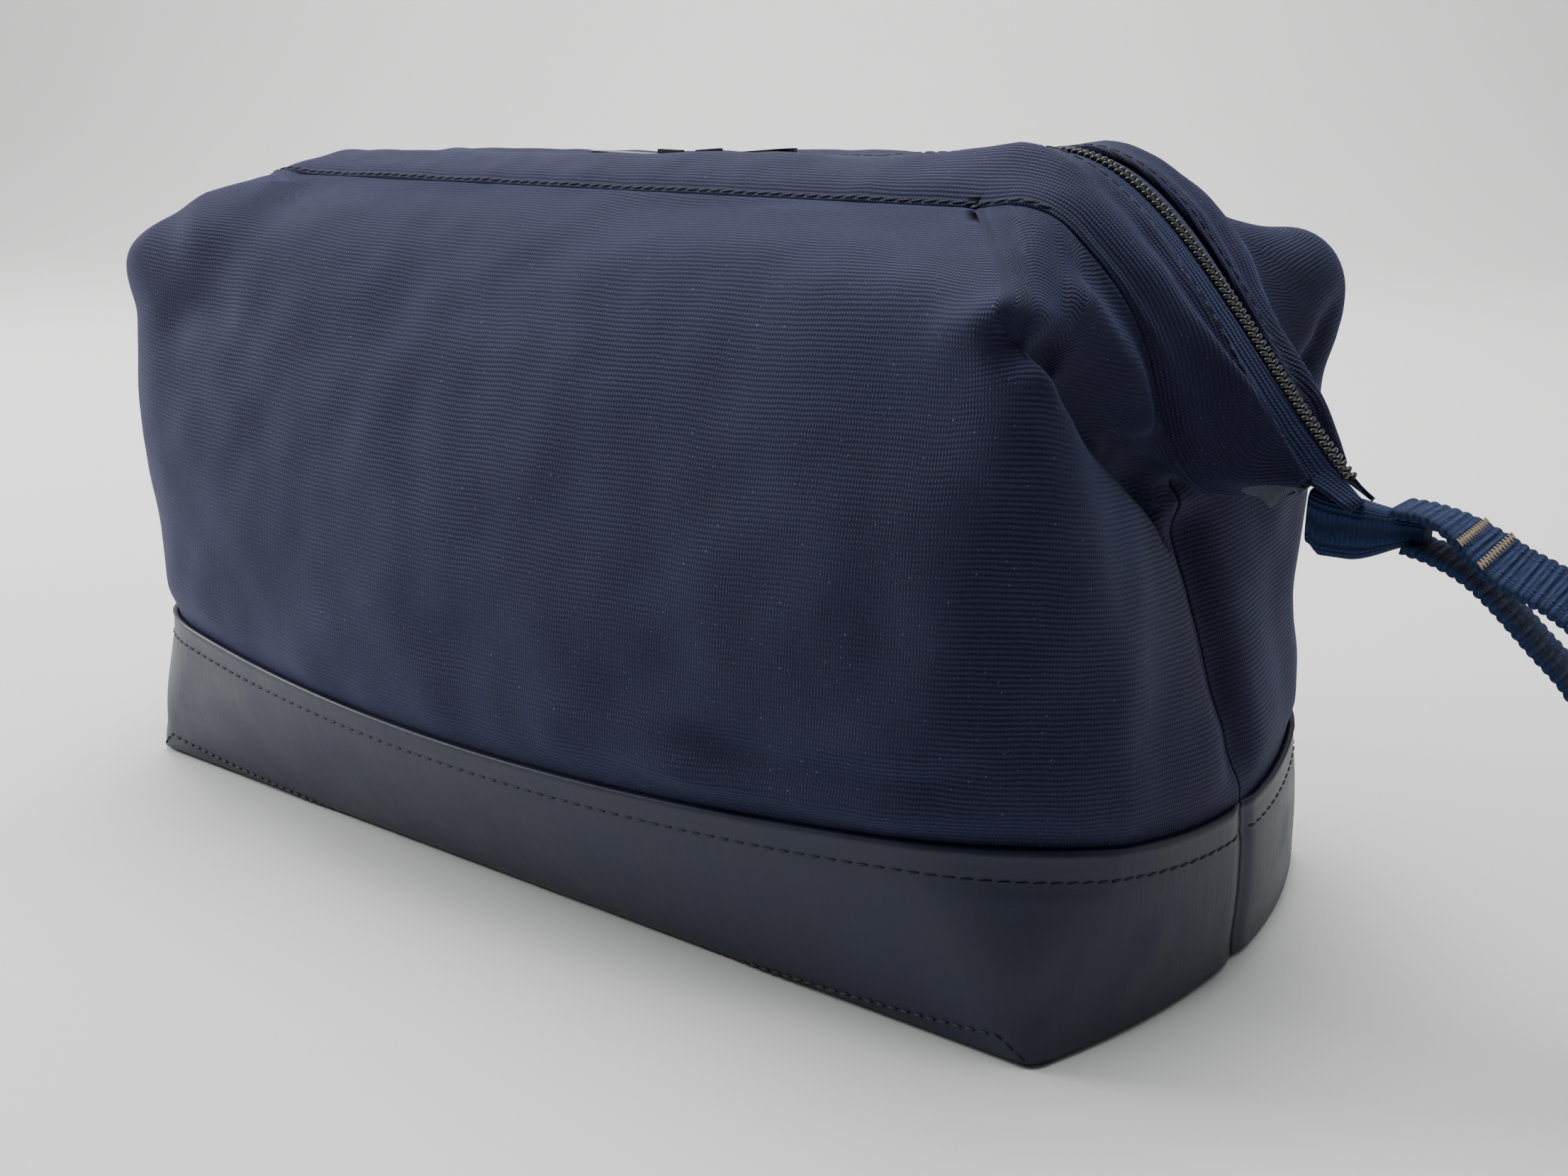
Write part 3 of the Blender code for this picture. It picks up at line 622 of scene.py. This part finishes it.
leather = leather_grid()
for label, back in (("front", False), ("back", True)):
    band = cloth_piece(f"leather_{label}", leather, 1.4, "leather", back)
    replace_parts(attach(band, "bag_body"), f"base_leather_{label}")
    line, outs = at_height(leather, top_stitching_at)
    stitches(f"leather_stitches_{label}", line[3:-3], outs[3:-3], "bag_body", back)
    line, outs = at_height(leather, lengths_of(leather)[1][-1, front_columns] - 7.6)
    stitches(f"bottom_stitches_{label}", line[8:-8], outs[8:-8], "bag_body", back, 2.8, 2.1, 0.35)


# ---- canvas shell ----

# The ear's corner and the top of the end seam, as (x, depth, z) on the right half.
top_section = sized(len(SECTIONS) - 1)
ear_corner = np.array(top_section["corner"])
seam_top = np.array((top_section["end"], 0.0, top_section["end_z"]))
# The valley lies under the line between them: how far it is sunk in, and how far below at each end.
valley_inset = 4.0
valley_below = (5.0, 9.0)
valley_stop = 0.83
# The roll beside the channel's border, and how far it stands off at its two ends.
roll_inset = 4.0
roll_gap = (18.0, 2.0)
roll_span = (0.43, 0.72)


def from_ear(*steps):
    """Points that are so far along x, in depth and up from the ear's corner."""
    return [ear_corner + step for step in steps]


def valley(start):
    """The valley from the ear towards the end seam, from this share of the way on."""
    points = []
    for share in np.linspace(start, valley_stop, 4):
        below = (valley_inset * (1 - share), 0, blend(*valley_below, share))
        points.append(blend(ear_corner, seam_top, share) - below)
    return points


def roll_beside_border():
    points = []
    for share in np.linspace(0, 1, 5):
        x, y, z = hem_line(1, blend(*roll_span, share))
        points.append((x - roll_inset, -y + blend(roll_gap[1], roll_gap[0], (1 - share) ** 1.5), z))
    return points


# Each fold is (points as x, depth, z on the right half of the front, width, height, share faded at the ends).
EAR_FOLDS = {
    ("front", 1): (
        (from_ear((-25, 3, -4), (-16, 3, -2), (-10, 1, -1), (-6, -3, 1)), 5.5, 2.4, 0.25),
        (roll_beside_border(), 5.5, 3.8, 0.2),
        (from_ear((-6, 1, -4), (-4, -8, -9)), 4.4, -10.0, 0.0),
        ([*valley(0.08), seam_top + (5, 5, -12)], 5.0, -6.5, 0.12),
        (from_ear((7, -23, -72), (5, -25, -44)), 17.0, 2.6, 0.0),
    ),
    ("back", 1): (
        (from_ear((-5, -5, 0), (-2, -13, -4), (0, -21, -16), (2, -27, -34)), 13.0, 5.6, 0.0),
        (from_ear((-2, -1, -5), (1, -11, -12), (2, -20, -24)), 3.0, -2.6, 0.2),
        (valley(0.23), 6.0, -3.0, 0.2),
    ),
    ("front", -1): (
        (from_ear((-41, -25, 11), (-25, -17, 8), (-12, -8, 3)), 15.0, 3.0, 0.3),
        (valley(0.20), 6.0, -4.0, 0.2),
    ),
    ("back", -1): (
        (from_ear((-17, 2, -2), (-7, -3, 0)), 6.0, 1.6, 0.2),
        (valley(0.10), 5.5, -5.0, 0.2),
    ),
}
# Soft rolls where the front sags on to the leather, as (points as x, z, width, height).
SAG_FOLDS = (
    (((52, 52), (86, 50), (112, 53), (126, 60)), 3.6, -1.5),
    (((40, 45), (80, 43.5), (118, 45)), 3.0, 1.3),
    (((-20, 60), (30, 56), (64, 60)), 6.0, -0.9),
    (((-112, 112), (-96, 120), (-80, 119)), 6.0, -1.0),
)


def on_front(grid, x, z):
    """The point of the front face at this x and height."""
    miss = (grid[..., 0] - x) ** 2 + (grid[..., 2] - z) ** 2 + 1e6 * (grid[..., 1] > -45)
    return grid.reshape(-1, 3)[np.argmin(miss)]


def canvas_grid(label):
    hem = np.array([hem_line(side, u) for side, u in hem_stations()])
    grid = loft([*half_sections(), hem], 1.97, 7.0, canvas_rows)
    outs = normals_of(grid)
    up = lengths_of(grid)[1]
    grid = grid + outs * (-1.5 * (1 - smooth(0.0, 9.0, up)) + 1.0 * bell(up - 13.0, 9.0))[..., None]
    keep = (smooth(0.0, 8.0, up) * smooth(0.0, 7.0, up[-1:] - up))[..., None]
    folded = seam_turn(grid, 4.6)
    for side in (-1, 1):
        for points, width, height, fade in EAR_FOLDS[label, side]:
            folded = push(folded, [(side * x, -depth, z) for x, depth, z in points], width, height, fade=fade)
    if label == "front":
        for points, width, height in SAG_FOLDS:
            folded = push(folded, [on_front(folded, x, z) for x, z in points], width, height)
    folded = ripple(ripple(folded, 34.0, 1.4, 3.0), 12.0, 0.6, 7.0)
    grid = grid + (folded - grid) * keep
    grid[..., 1] = np.minimum(grid[..., 1], -0.25)
    return grid


canvas = {label: canvas_grid(label) for label in ("front", "back")}
for label, back in (("front", False), ("back", True)):
    panel = cloth_piece(f"canvas_{label}", canvas[label], 1.0, "canvas", back)
    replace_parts(panel, f"canvas_{label}_panel")
    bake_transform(panel)


# ---- wire channel, its stitching, and the zip ----

def channel_grid(back):
    """From the stitched hem over the wire's roll to the stitched edge beside the zip tape."""
    columns = []
    for side, u in hem_stations():
        hem, crest, edge = hem_line(side, u), crest_line(side, u), tape_line(side, u)
        x, z = zip_normal(side, u)
        out = np.array([x, 0, z])
        roll = 1.6 + 2.6 * bell(u - 0.78, 0.17)
        if back and side > 0:
            crest = crest + 3.6 * bell(u - 0.86, 0.16) * out
        low = blend(hem, crest, 0.33) + 0.8 * roll * out + (0, -0.35 * roll, 0)
        fall = blend(crest, edge, 0.55) + 0.3 * roll * out
        line = np.array([hem, low, crest + 0.4 * roll * out, fall, edge])
        column = [catmull_rom(line, 4 * k / 22) for k in range(23)]
        column += [edge - 0.7 * out + (0, 0.35, 0), edge - 1.1 * out - (0, 1.4, 0)]
        columns.append(column)
    grid = np.array(columns).transpose(1, 0, 2)
    return ripple(grid + normals_of(grid) * pleats(grid.shape)[..., None], 9.0, 0.5, 5.0)


def sleeve_grid():
    """The channel's inner side, under the wire, from the hem to the zip tape."""
    columns = []
    for side, u in hem_stations():
        x, z = zip_normal(side, u)
        out = np.array([x, 0, z])
        line = np.array([
            hem_line(side, u) + (0, 0.9, -0.2),
            crest_line(side, u) - 6.0 * out,
            tape_line(side, u) - 2.0 * out,
        ])
        columns.append([catmull_rom(line, 2 * k / 8) for k in range(9)])
    return np.array(columns).transpose(1, 0, 2)


def pleats(shape):
    """Soft ridges that run down the drops beside the zip, where the sleeve is bunched on its wire."""
    rows = np.arange(shape[0])[:, None] / 22
    u = np.array([u for side, u in hem_stations()])[None, :]
    waves = np.sin(2 * math.pi * (2.3 * rows + 0.35 * np.sin(5.0 * u)))
    return 0.75 * waves * smooth(0.05, 0.40, u) * smooth(0.0, 0.2, rows) * smooth(1.0, 0.8, rows)


def offset_line(grid, row, distance):
    """A line beside row `row` of a grid, `distance` up the columns, with normals."""
    up = lengths_of(grid)[1]
    outs = normals_of(grid)
    goal = up[row] + distance
    columns = range(grid.shape[1])
    line = [[np.interp(goal[c], up[:, c], grid[:, c, k]) for k in range(3)] for c in columns]
    lifts = [[np.interp(goal[c], up[:, c], outs[:, c, k]) for k in range(3)] for c in columns]
    return np.array(line), np.array(lifts)


def tape_grid():
    quarter = [-1 + k / 30 for k in range(30)] + [k / 60 for k in range(61)]
    columns = []
    for side, u in both_sides(quarter):
        tail = max(0.0, (u - strip_end) / (1 - strip_end))
        x, z = zip_normal(side, min(u, strip_end))
        out = np.array([x, 0, z])
        under = tape_line(side, min(u, strip_end)) - 1.5 * out
        under = blend(under, beside_zip(side, u, 6.0, 1.8), tail)
        inner = beside_zip(side, u, coil_half_width - 0.5, 0.5)
        tuck = under - (0, blend(2.0, 0.5, along_strip(u)), 0) - 0.3 * out
        column = [tuck, under]
        for k in range(1, 7):
            column.append(blend(under, inner, k / 6) + 0.25 * math.sin(math.pi * k / 6) * out)
        columns.append(column)
    return np.array(columns).transpose(1, 0, 2)


# The coil's pitch, and the share of a drop that it covers.
tooth_pitch = 1.42
teeth_end = 0.94


def teeth(label, back):
    """Both legs of each coil turn lie across the chain; the two halves mesh half a pitch apart."""
    quarter = [-1 + k / 30 for k in range(30)] + [teeth_end * k / 90 for k in range(91)]
    route = [beside_zip(side, u, 0, 0) for side, u in both_sides(quarter)]
    middles, ways, _ = resampled(route, tooth_pitch)
    ups = np.array([np.array([-w[2], 0, w[0]]) for w in ways])
    shift = tooth_pitch / 2 if back else 0.0
    middles = middles + shift * ways + np.array([0, -1.3, 0]) - 0.3 * ups
    across = np.array([0.0, 1.0, 0.0]) + 0.16 * ways
    across = across / np.linalg.norm(across, axis=1, keepdims=True)
    return capsules(f"zip_teeth_{label}", middles, across, ups, 1.35, 0.6, 0.65, "coil", back)


tape = tape_grid()
for label, back in (("front", False), ("back", True)):
    body = f"mouth_{label}"
    channel = channel_grid(back)
    strip = cloth_piece(f"channel_{label}", channel, 0.9, "canvas", back)
    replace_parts(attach(strip, body), f"hem_channel_{label}")
    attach(cloth_piece(f"sleeve_{label}", sleeve_grid(), 0.5, "lining", back), body)
    line, outs = offset_line(channel, 0, 1.1)
    level = np.abs(line[:, 0]) < 110.0
    stitches(f"hem_stitches_{label}", line[level], outs[level], body, back, 3.0, 2.3, 0.26)
    line, outs = offset_line(channel, 22, -1.6)
    stitches(f"edge_stitches_{label}", line[6:-6], outs[6:-6], body, back, 3.0, 2.2, 0.2)
    woven_tape = cloth_piece(f"tape_{label}", tape, 0.6, "tape", back)
    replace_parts(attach(woven_tape, body), f"zip_tape_{label}")
    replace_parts(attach(teeth(label, back), body), f"zip_coil_{label}")


# ---- lining ----

def lining_grid(label):
    """Inside the leather's sections low down, and a few millimetres inside the canvas above them."""
    low = loft(half_sections(5.0, 0.3), 0.12, 1.85, 10)
    shell = canvas[label]
    calm = shell.copy()
    for _ in range(30):
        calm[1:-1, 1:-1] = (calm[:-2, 1:-1] + calm[2:, 1:-1] + calm[1:-1, :-2] + calm[1:-1, 2:]) / 4
    outs = normals_of(calm)
    sunk = np.maximum(np.sum((calm - shell) * outs, axis=2, keepdims=True), 0)
    high = calm - outs * (3.4 + 1.6 * sunk)
    high = high[4:-2:3] - (0, 0, 0.4)
    high[..., 1] = np.minimum(high[..., 1], -0.3)
    return np.concatenate([low, high])


lining = {label: lining_grid(label) for label in ("front", "back")}
for label, back in (("front", False), ("back", True)):
    inside = cloth_piece(f"lining_{label}", lining[label], 0.5, "lining", back)
    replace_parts(inside, "lining_tub", f"lining_flap_{label}")
    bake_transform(inside)

for label, column, side in (("left", 0, -1), ("right", -1, 1)):
    seam = canvas["front"][:, column]
    seam = seam[(seam[:, 2] > 36.8) & (seam[:, 2] < 90.5)]
    strip = np.array([[(x - side * 1.9, y, z) for y in (-3.5 * side, 0.0, 3.5 * side)] for x, _, z in seam])
    binding = cloth_piece(f"seam_binding_{label}", strip, 0.6, "lining")
    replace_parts(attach(binding, "bag_body"), f"end_seam_tape_{label}")

ring = lining["front"][0][:, :2]
floor_ring = np.vstack([ring, (ring * (1, -1))[::-1]])
floor_shares = (1.0, 0.9, 0.6, 0.3, 0.02)
floor_rows = []
for share in floor_shares:
    heights = np.full(len(floor_ring), 4.6 + 0.3 * share)
    floor_rows.append(np.column_stack([floor_ring * share, heights]))
floor_points = np.vstack(floor_rows)
floor_faces = grid_faces(len(floor_shares), len(floor_ring), closed=True)
inner_floor = mesh_piece("lining_floor", floor_points, floor_faces, "lining", floor_points[:, :2])
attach(inner_floor, "bag_body")


# ---- zip end tabs and wrist loop ----

def rounded_ring(middle, across, up, half_width, half_height, count=20, power=0.45):
    angles = 2 * np.pi * (np.arange(count) + 0.5) / count
    c, s = np.cos(angles), np.sin(angles)
    wide = np.sign(c) * np.abs(c) ** power * half_width
    high = np.sign(s) * np.abs(s) ** power * half_height
    return middle + wide[:, None] * across + high[:, None] * up


# The folded tab: rings along it, points round each, and where it starts and ends, from high to low.
tab_rings = 28
tab_sides = 28
tab_x = (151.5, 172.5)
tab_top = (100.2, 96.6)
tab_low = (87.6, 92.2)
tab_half_width = (4.8, 2.4)


def end_tab(label, side):
    """The folded end of the zip tapes: deep where it wraps the zip, narrowing to its sewn tip."""
    rings, uvs = [], []
    across, up = np.array([0, side * 1.0, 0]), np.array([0, 0, 1.0])
    for k in range(tab_rings + 1):
        share = k / tab_rings
        x = blend(*tab_x, share)
        top = blend(*tab_top, share**0.8)
        low = blend(*tab_low, smooth(0.35, 1.0, share)) + 2.2 * (1 - smooth(0.0, 0.12, share))
        half = blend(*tab_half_width, share**0.7)
        middle = np.array([side * x, 0, (top + low) / 2])
        rings.append(rounded_ring(middle, across, up, half, (top - low) / 2, tab_sides, 0.4))
        uvs += [(21 * share, 30 * j / tab_sides) for j in range(tab_sides)]
    tab = swept(f"end_tab_{label}", rings, "webbing", uvs)
    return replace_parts(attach(tab, "bag_body"), f"zip_end_tab_{label}")


# The webbing's middle line as (x, z), from over the tab, round the loop and back under the tab.
STRAP_PATH = [
    (166.5, 98.2), (172, 98.0), (176.5, 96.8), (180.3, 94.7), (184.4, 92.1), (188, 90.2),
    (192.5, 88.5), (197, 86.5), (203, 82.6), (210, 76.6), (217, 69.6), (224, 61),
    (230, 51), (234.4, 40.5), (236.2, 30), (235.6, 21.5), (232, 16), (227, 14.3),
    (222.4, 16.4), (219.4, 22), (217.4, 30), (214.6, 40), (210.8, 50.5), (206.4, 60.8),
    (200.6, 71), (193.2, 78), (186.2, 84.4), (181, 88.2), (175.5, 90.6), (169.5, 92),
]
strap_tilt = math.radians(22)
strap_step = 0.32
strap_sides = 24
rib_pitch = 1.9


def strap_frame(walked, way):
    """(across the webbing, out of its face): the upper leg leans its front edge down."""
    up = np.array([-way[2], 0, way[0]])
    tilt = strap_tilt * smooth(6, 22, walked) * (1 - smooth(45, 80, walked))
    side = np.array([0, 1.0, 0])
    return math.cos(tilt) * side + math.sin(tilt) * up, math.cos(tilt) * up - math.sin(tilt) * side


def strap():
    """One length of ribbed webbing from over the tab's tip, down and round, and back under it."""
    path = [np.array([x, 0.0, z]) for x, z in STRAP_PATH]
    fine = [catmull_rom(path, (len(path) - 1) * k / 700) for k in range(701)]
    middles, ways, _ = resampled(fine, strap_step)
    rings, uvs = [], []
    for k, (middle, way) in enumerate(zip(middles, ways)):
        walked = strap_step * k
        across, up = strap_frame(walked, way)
        rib = abs(math.sin(math.pi * walked / rib_pitch)) ** 0.6
        half_width, half_height = 6.6 - 0.35 * (1 - rib), 0.55 + 0.5 * rib
        rings.append(rounded_ring(middle, across, up, half_width, half_height, strap_sides, 0.35))
        uvs += [(26 * j / strap_sides, walked) for j in range(strap_sides)]
    made = swept("wrist_strap", rings, "webbing", uvs)
    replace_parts(made, "strap_anchor", "wrist_loop")
    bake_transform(made)
    return middles, ways


def bar_tack(name, middle, way, walked, node):
    """A dense row of tan zigzag thread across the webbing."""
    across, up = strap_frame(walked, way)
    places = [middle + y * across + 1.02 * up for y in np.arange(-6.0, 6.05, 0.5)]
    slants = [way + (0.5 if k % 2 else -0.5) * across for k in range(len(places))]
    slants = [s / np.linalg.norm(s) for s in slants]
    tack = capsules(name, places, slants, [up] * len(places), 0.95, 0.26, 0.24, "tan")
    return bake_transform(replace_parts(tack, node))


for label, side in (("left", -1), ("right", 1)):
    end_tab(label, side)
strap_middles, strap_ways = strap()
for name, x in (("bar_tack_inner", 179.9), ("bar_tack_outer", 184.2)):
    index = int(np.argmin(np.abs(strap_middles[:120, 0] - x)))
    bar_tack(f"{name}_thread", strap_middles[index], strap_ways[index], index * strap_step, name)


# ---- CAD nodes that stay, with finished materials ----

STAYS = {
    "base_bottom_panel": "leather", "base_board": "board",
    "frame_wire_front": "steel", "frame_wire_back": "steel",
    "slider_left": "zinc", "slider_right": "zinc", "puller_left": "zinc", "puller_right": "zinc",
}
for node, made_of in STAYS.items():
    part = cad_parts[node]
    part.data.materials.clear()
    part.data.materials.append(looks[made_of])
    if made_of == "zinc":
        softened = part.modifiers.new("worn_edges", "BEVEL")
        softened.width = 0.18 * MM
        softened.segments = 2
        softened.limit_method = "ANGLE"


# ---- floor, light and camera ----

# How far the camera stands round from the front, in radians. The floor's rising edge faces it.
camera_turn = 0.639


def stage_and_light():
    floor = bpy.data.meshes.new("floor")
    near, far, height_at_back, bend = -3.0, 1.5, 3.0, 0.8
    rows = [(near, 0), (far, 0)]
    rows += [(far + bend * math.sin(a), bend - bend * math.cos(a)) for a in np.linspace(0.1, math.pi / 2, 14)]
    rows += [(far + bend, height_at_back)]
    cos_turn, sin_turn = math.cos(camera_turn), math.sin(camera_turn)
    points = []
    for along, height in rows:
        for x in (-4.0, 4.0):
            place = (x * cos_turn - along * sin_turn, x * sin_turn + along * cos_turn)
            points.append((*place, height - 0.0002))
    floor.from_pydata(points, [], grid_faces(len(rows), 2))
    floor.shade_smooth()
    made, tree, shader = look("pale_floor")
    tone = speckle(tree, in_millimetres(tree, "Object"), 300.0)
    colour = mix_colours(tree, tone, (0.80, 0.80, 0.785), (0.84, 0.84, 0.83))
    tree.links.new(colour, shader.inputs["Base Color"])
    shader.inputs["Roughness"].default_value = 0.65
    floor.materials.append(made)
    obj = bpy.data.objects.new("floor", floor)
    bpy.context.scene.collection.objects.link(obj)

    world = bpy.data.worlds.new("studio")
    world.use_nodes = True
    tree = world.node_tree
    backdrop = tree.nodes["Background"]
    backdrop.inputs[0].default_value = (0.88, 0.90, 0.92, 1)
    # The room is bright overhead and behind the bag, and dark where the camera stands.
    way = tree.nodes.new("ShaderNodeTexCoord").outputs["Generated"]
    dark_side = (0.62, -0.72, -0.30)
    facing = add(tree, "VectorMath", set_operation="DOT_PRODUCT", i0=way, i1=dark_side)
    tree.links.new(ranged(tree, facing.outputs["Value"], -0.5, 0.5, 0.85, 0.02), backdrop.inputs[1])
    bpy.context.scene.world = world
    for name, place, goal, power, wide in (
        ("key", (-1.15, -0.42, 0.62), (0, 0, 0.08), 15.0, 0.5),
        ("overhead", (-0.15, 0.16, 1.45), (0, 0, 0.08), 20.0, 0.9),
        ("backdrop", (-0.55, 0.75, 1.7), (-1.35, 1.80, 0.55), 42.0, 1.2),
    ):
        lamp = bpy.data.lights.new(name, "AREA")
        lamp.energy = power
        lamp.size = wide
        obj = bpy.data.objects.new(name, lamp)
        obj.location = place
        obj.rotation_euler = (Vector(goal) - Vector(place)).to_track_quat("-Z", "Y").to_euler()
        bpy.context.scene.collection.objects.link(obj)


def camera():
    yaw, pitch, roll = -camera_turn, 0.272, 0.012
    ahead = Vector((math.sin(yaw) * math.cos(pitch), math.cos(yaw) * math.cos(pitch), -math.sin(pitch)))
    right = Vector((math.cos(yaw), -math.sin(yaw), 0))
    up = right.cross(ahead)
    right, up = math.cos(roll) * right + math.sin(roll) * up, math.cos(roll) * up - math.sin(roll) * right
    lens = bpy.data.cameras.new("camera")
    lens.lens = 39.72
    lens.sensor_width = 36
    lens.clip_start = 0.01
    obj = bpy.data.objects.new("camera", lens)
    obj.rotation_mode = "QUATERNION"
    rows = ((right.x, up.x, -ahead.x), (right.y, up.y, -ahead.y), (right.z, up.z, -ahead.z))
    obj.rotation_quaternion = Matrix(rows).to_quaternion()
    obj.location = (0.260185, -0.312445, 0.167173)
    bpy.context.scene.collection.objects.link(obj)
    bpy.context.scene.camera = obj


stage_and_light()
camera()
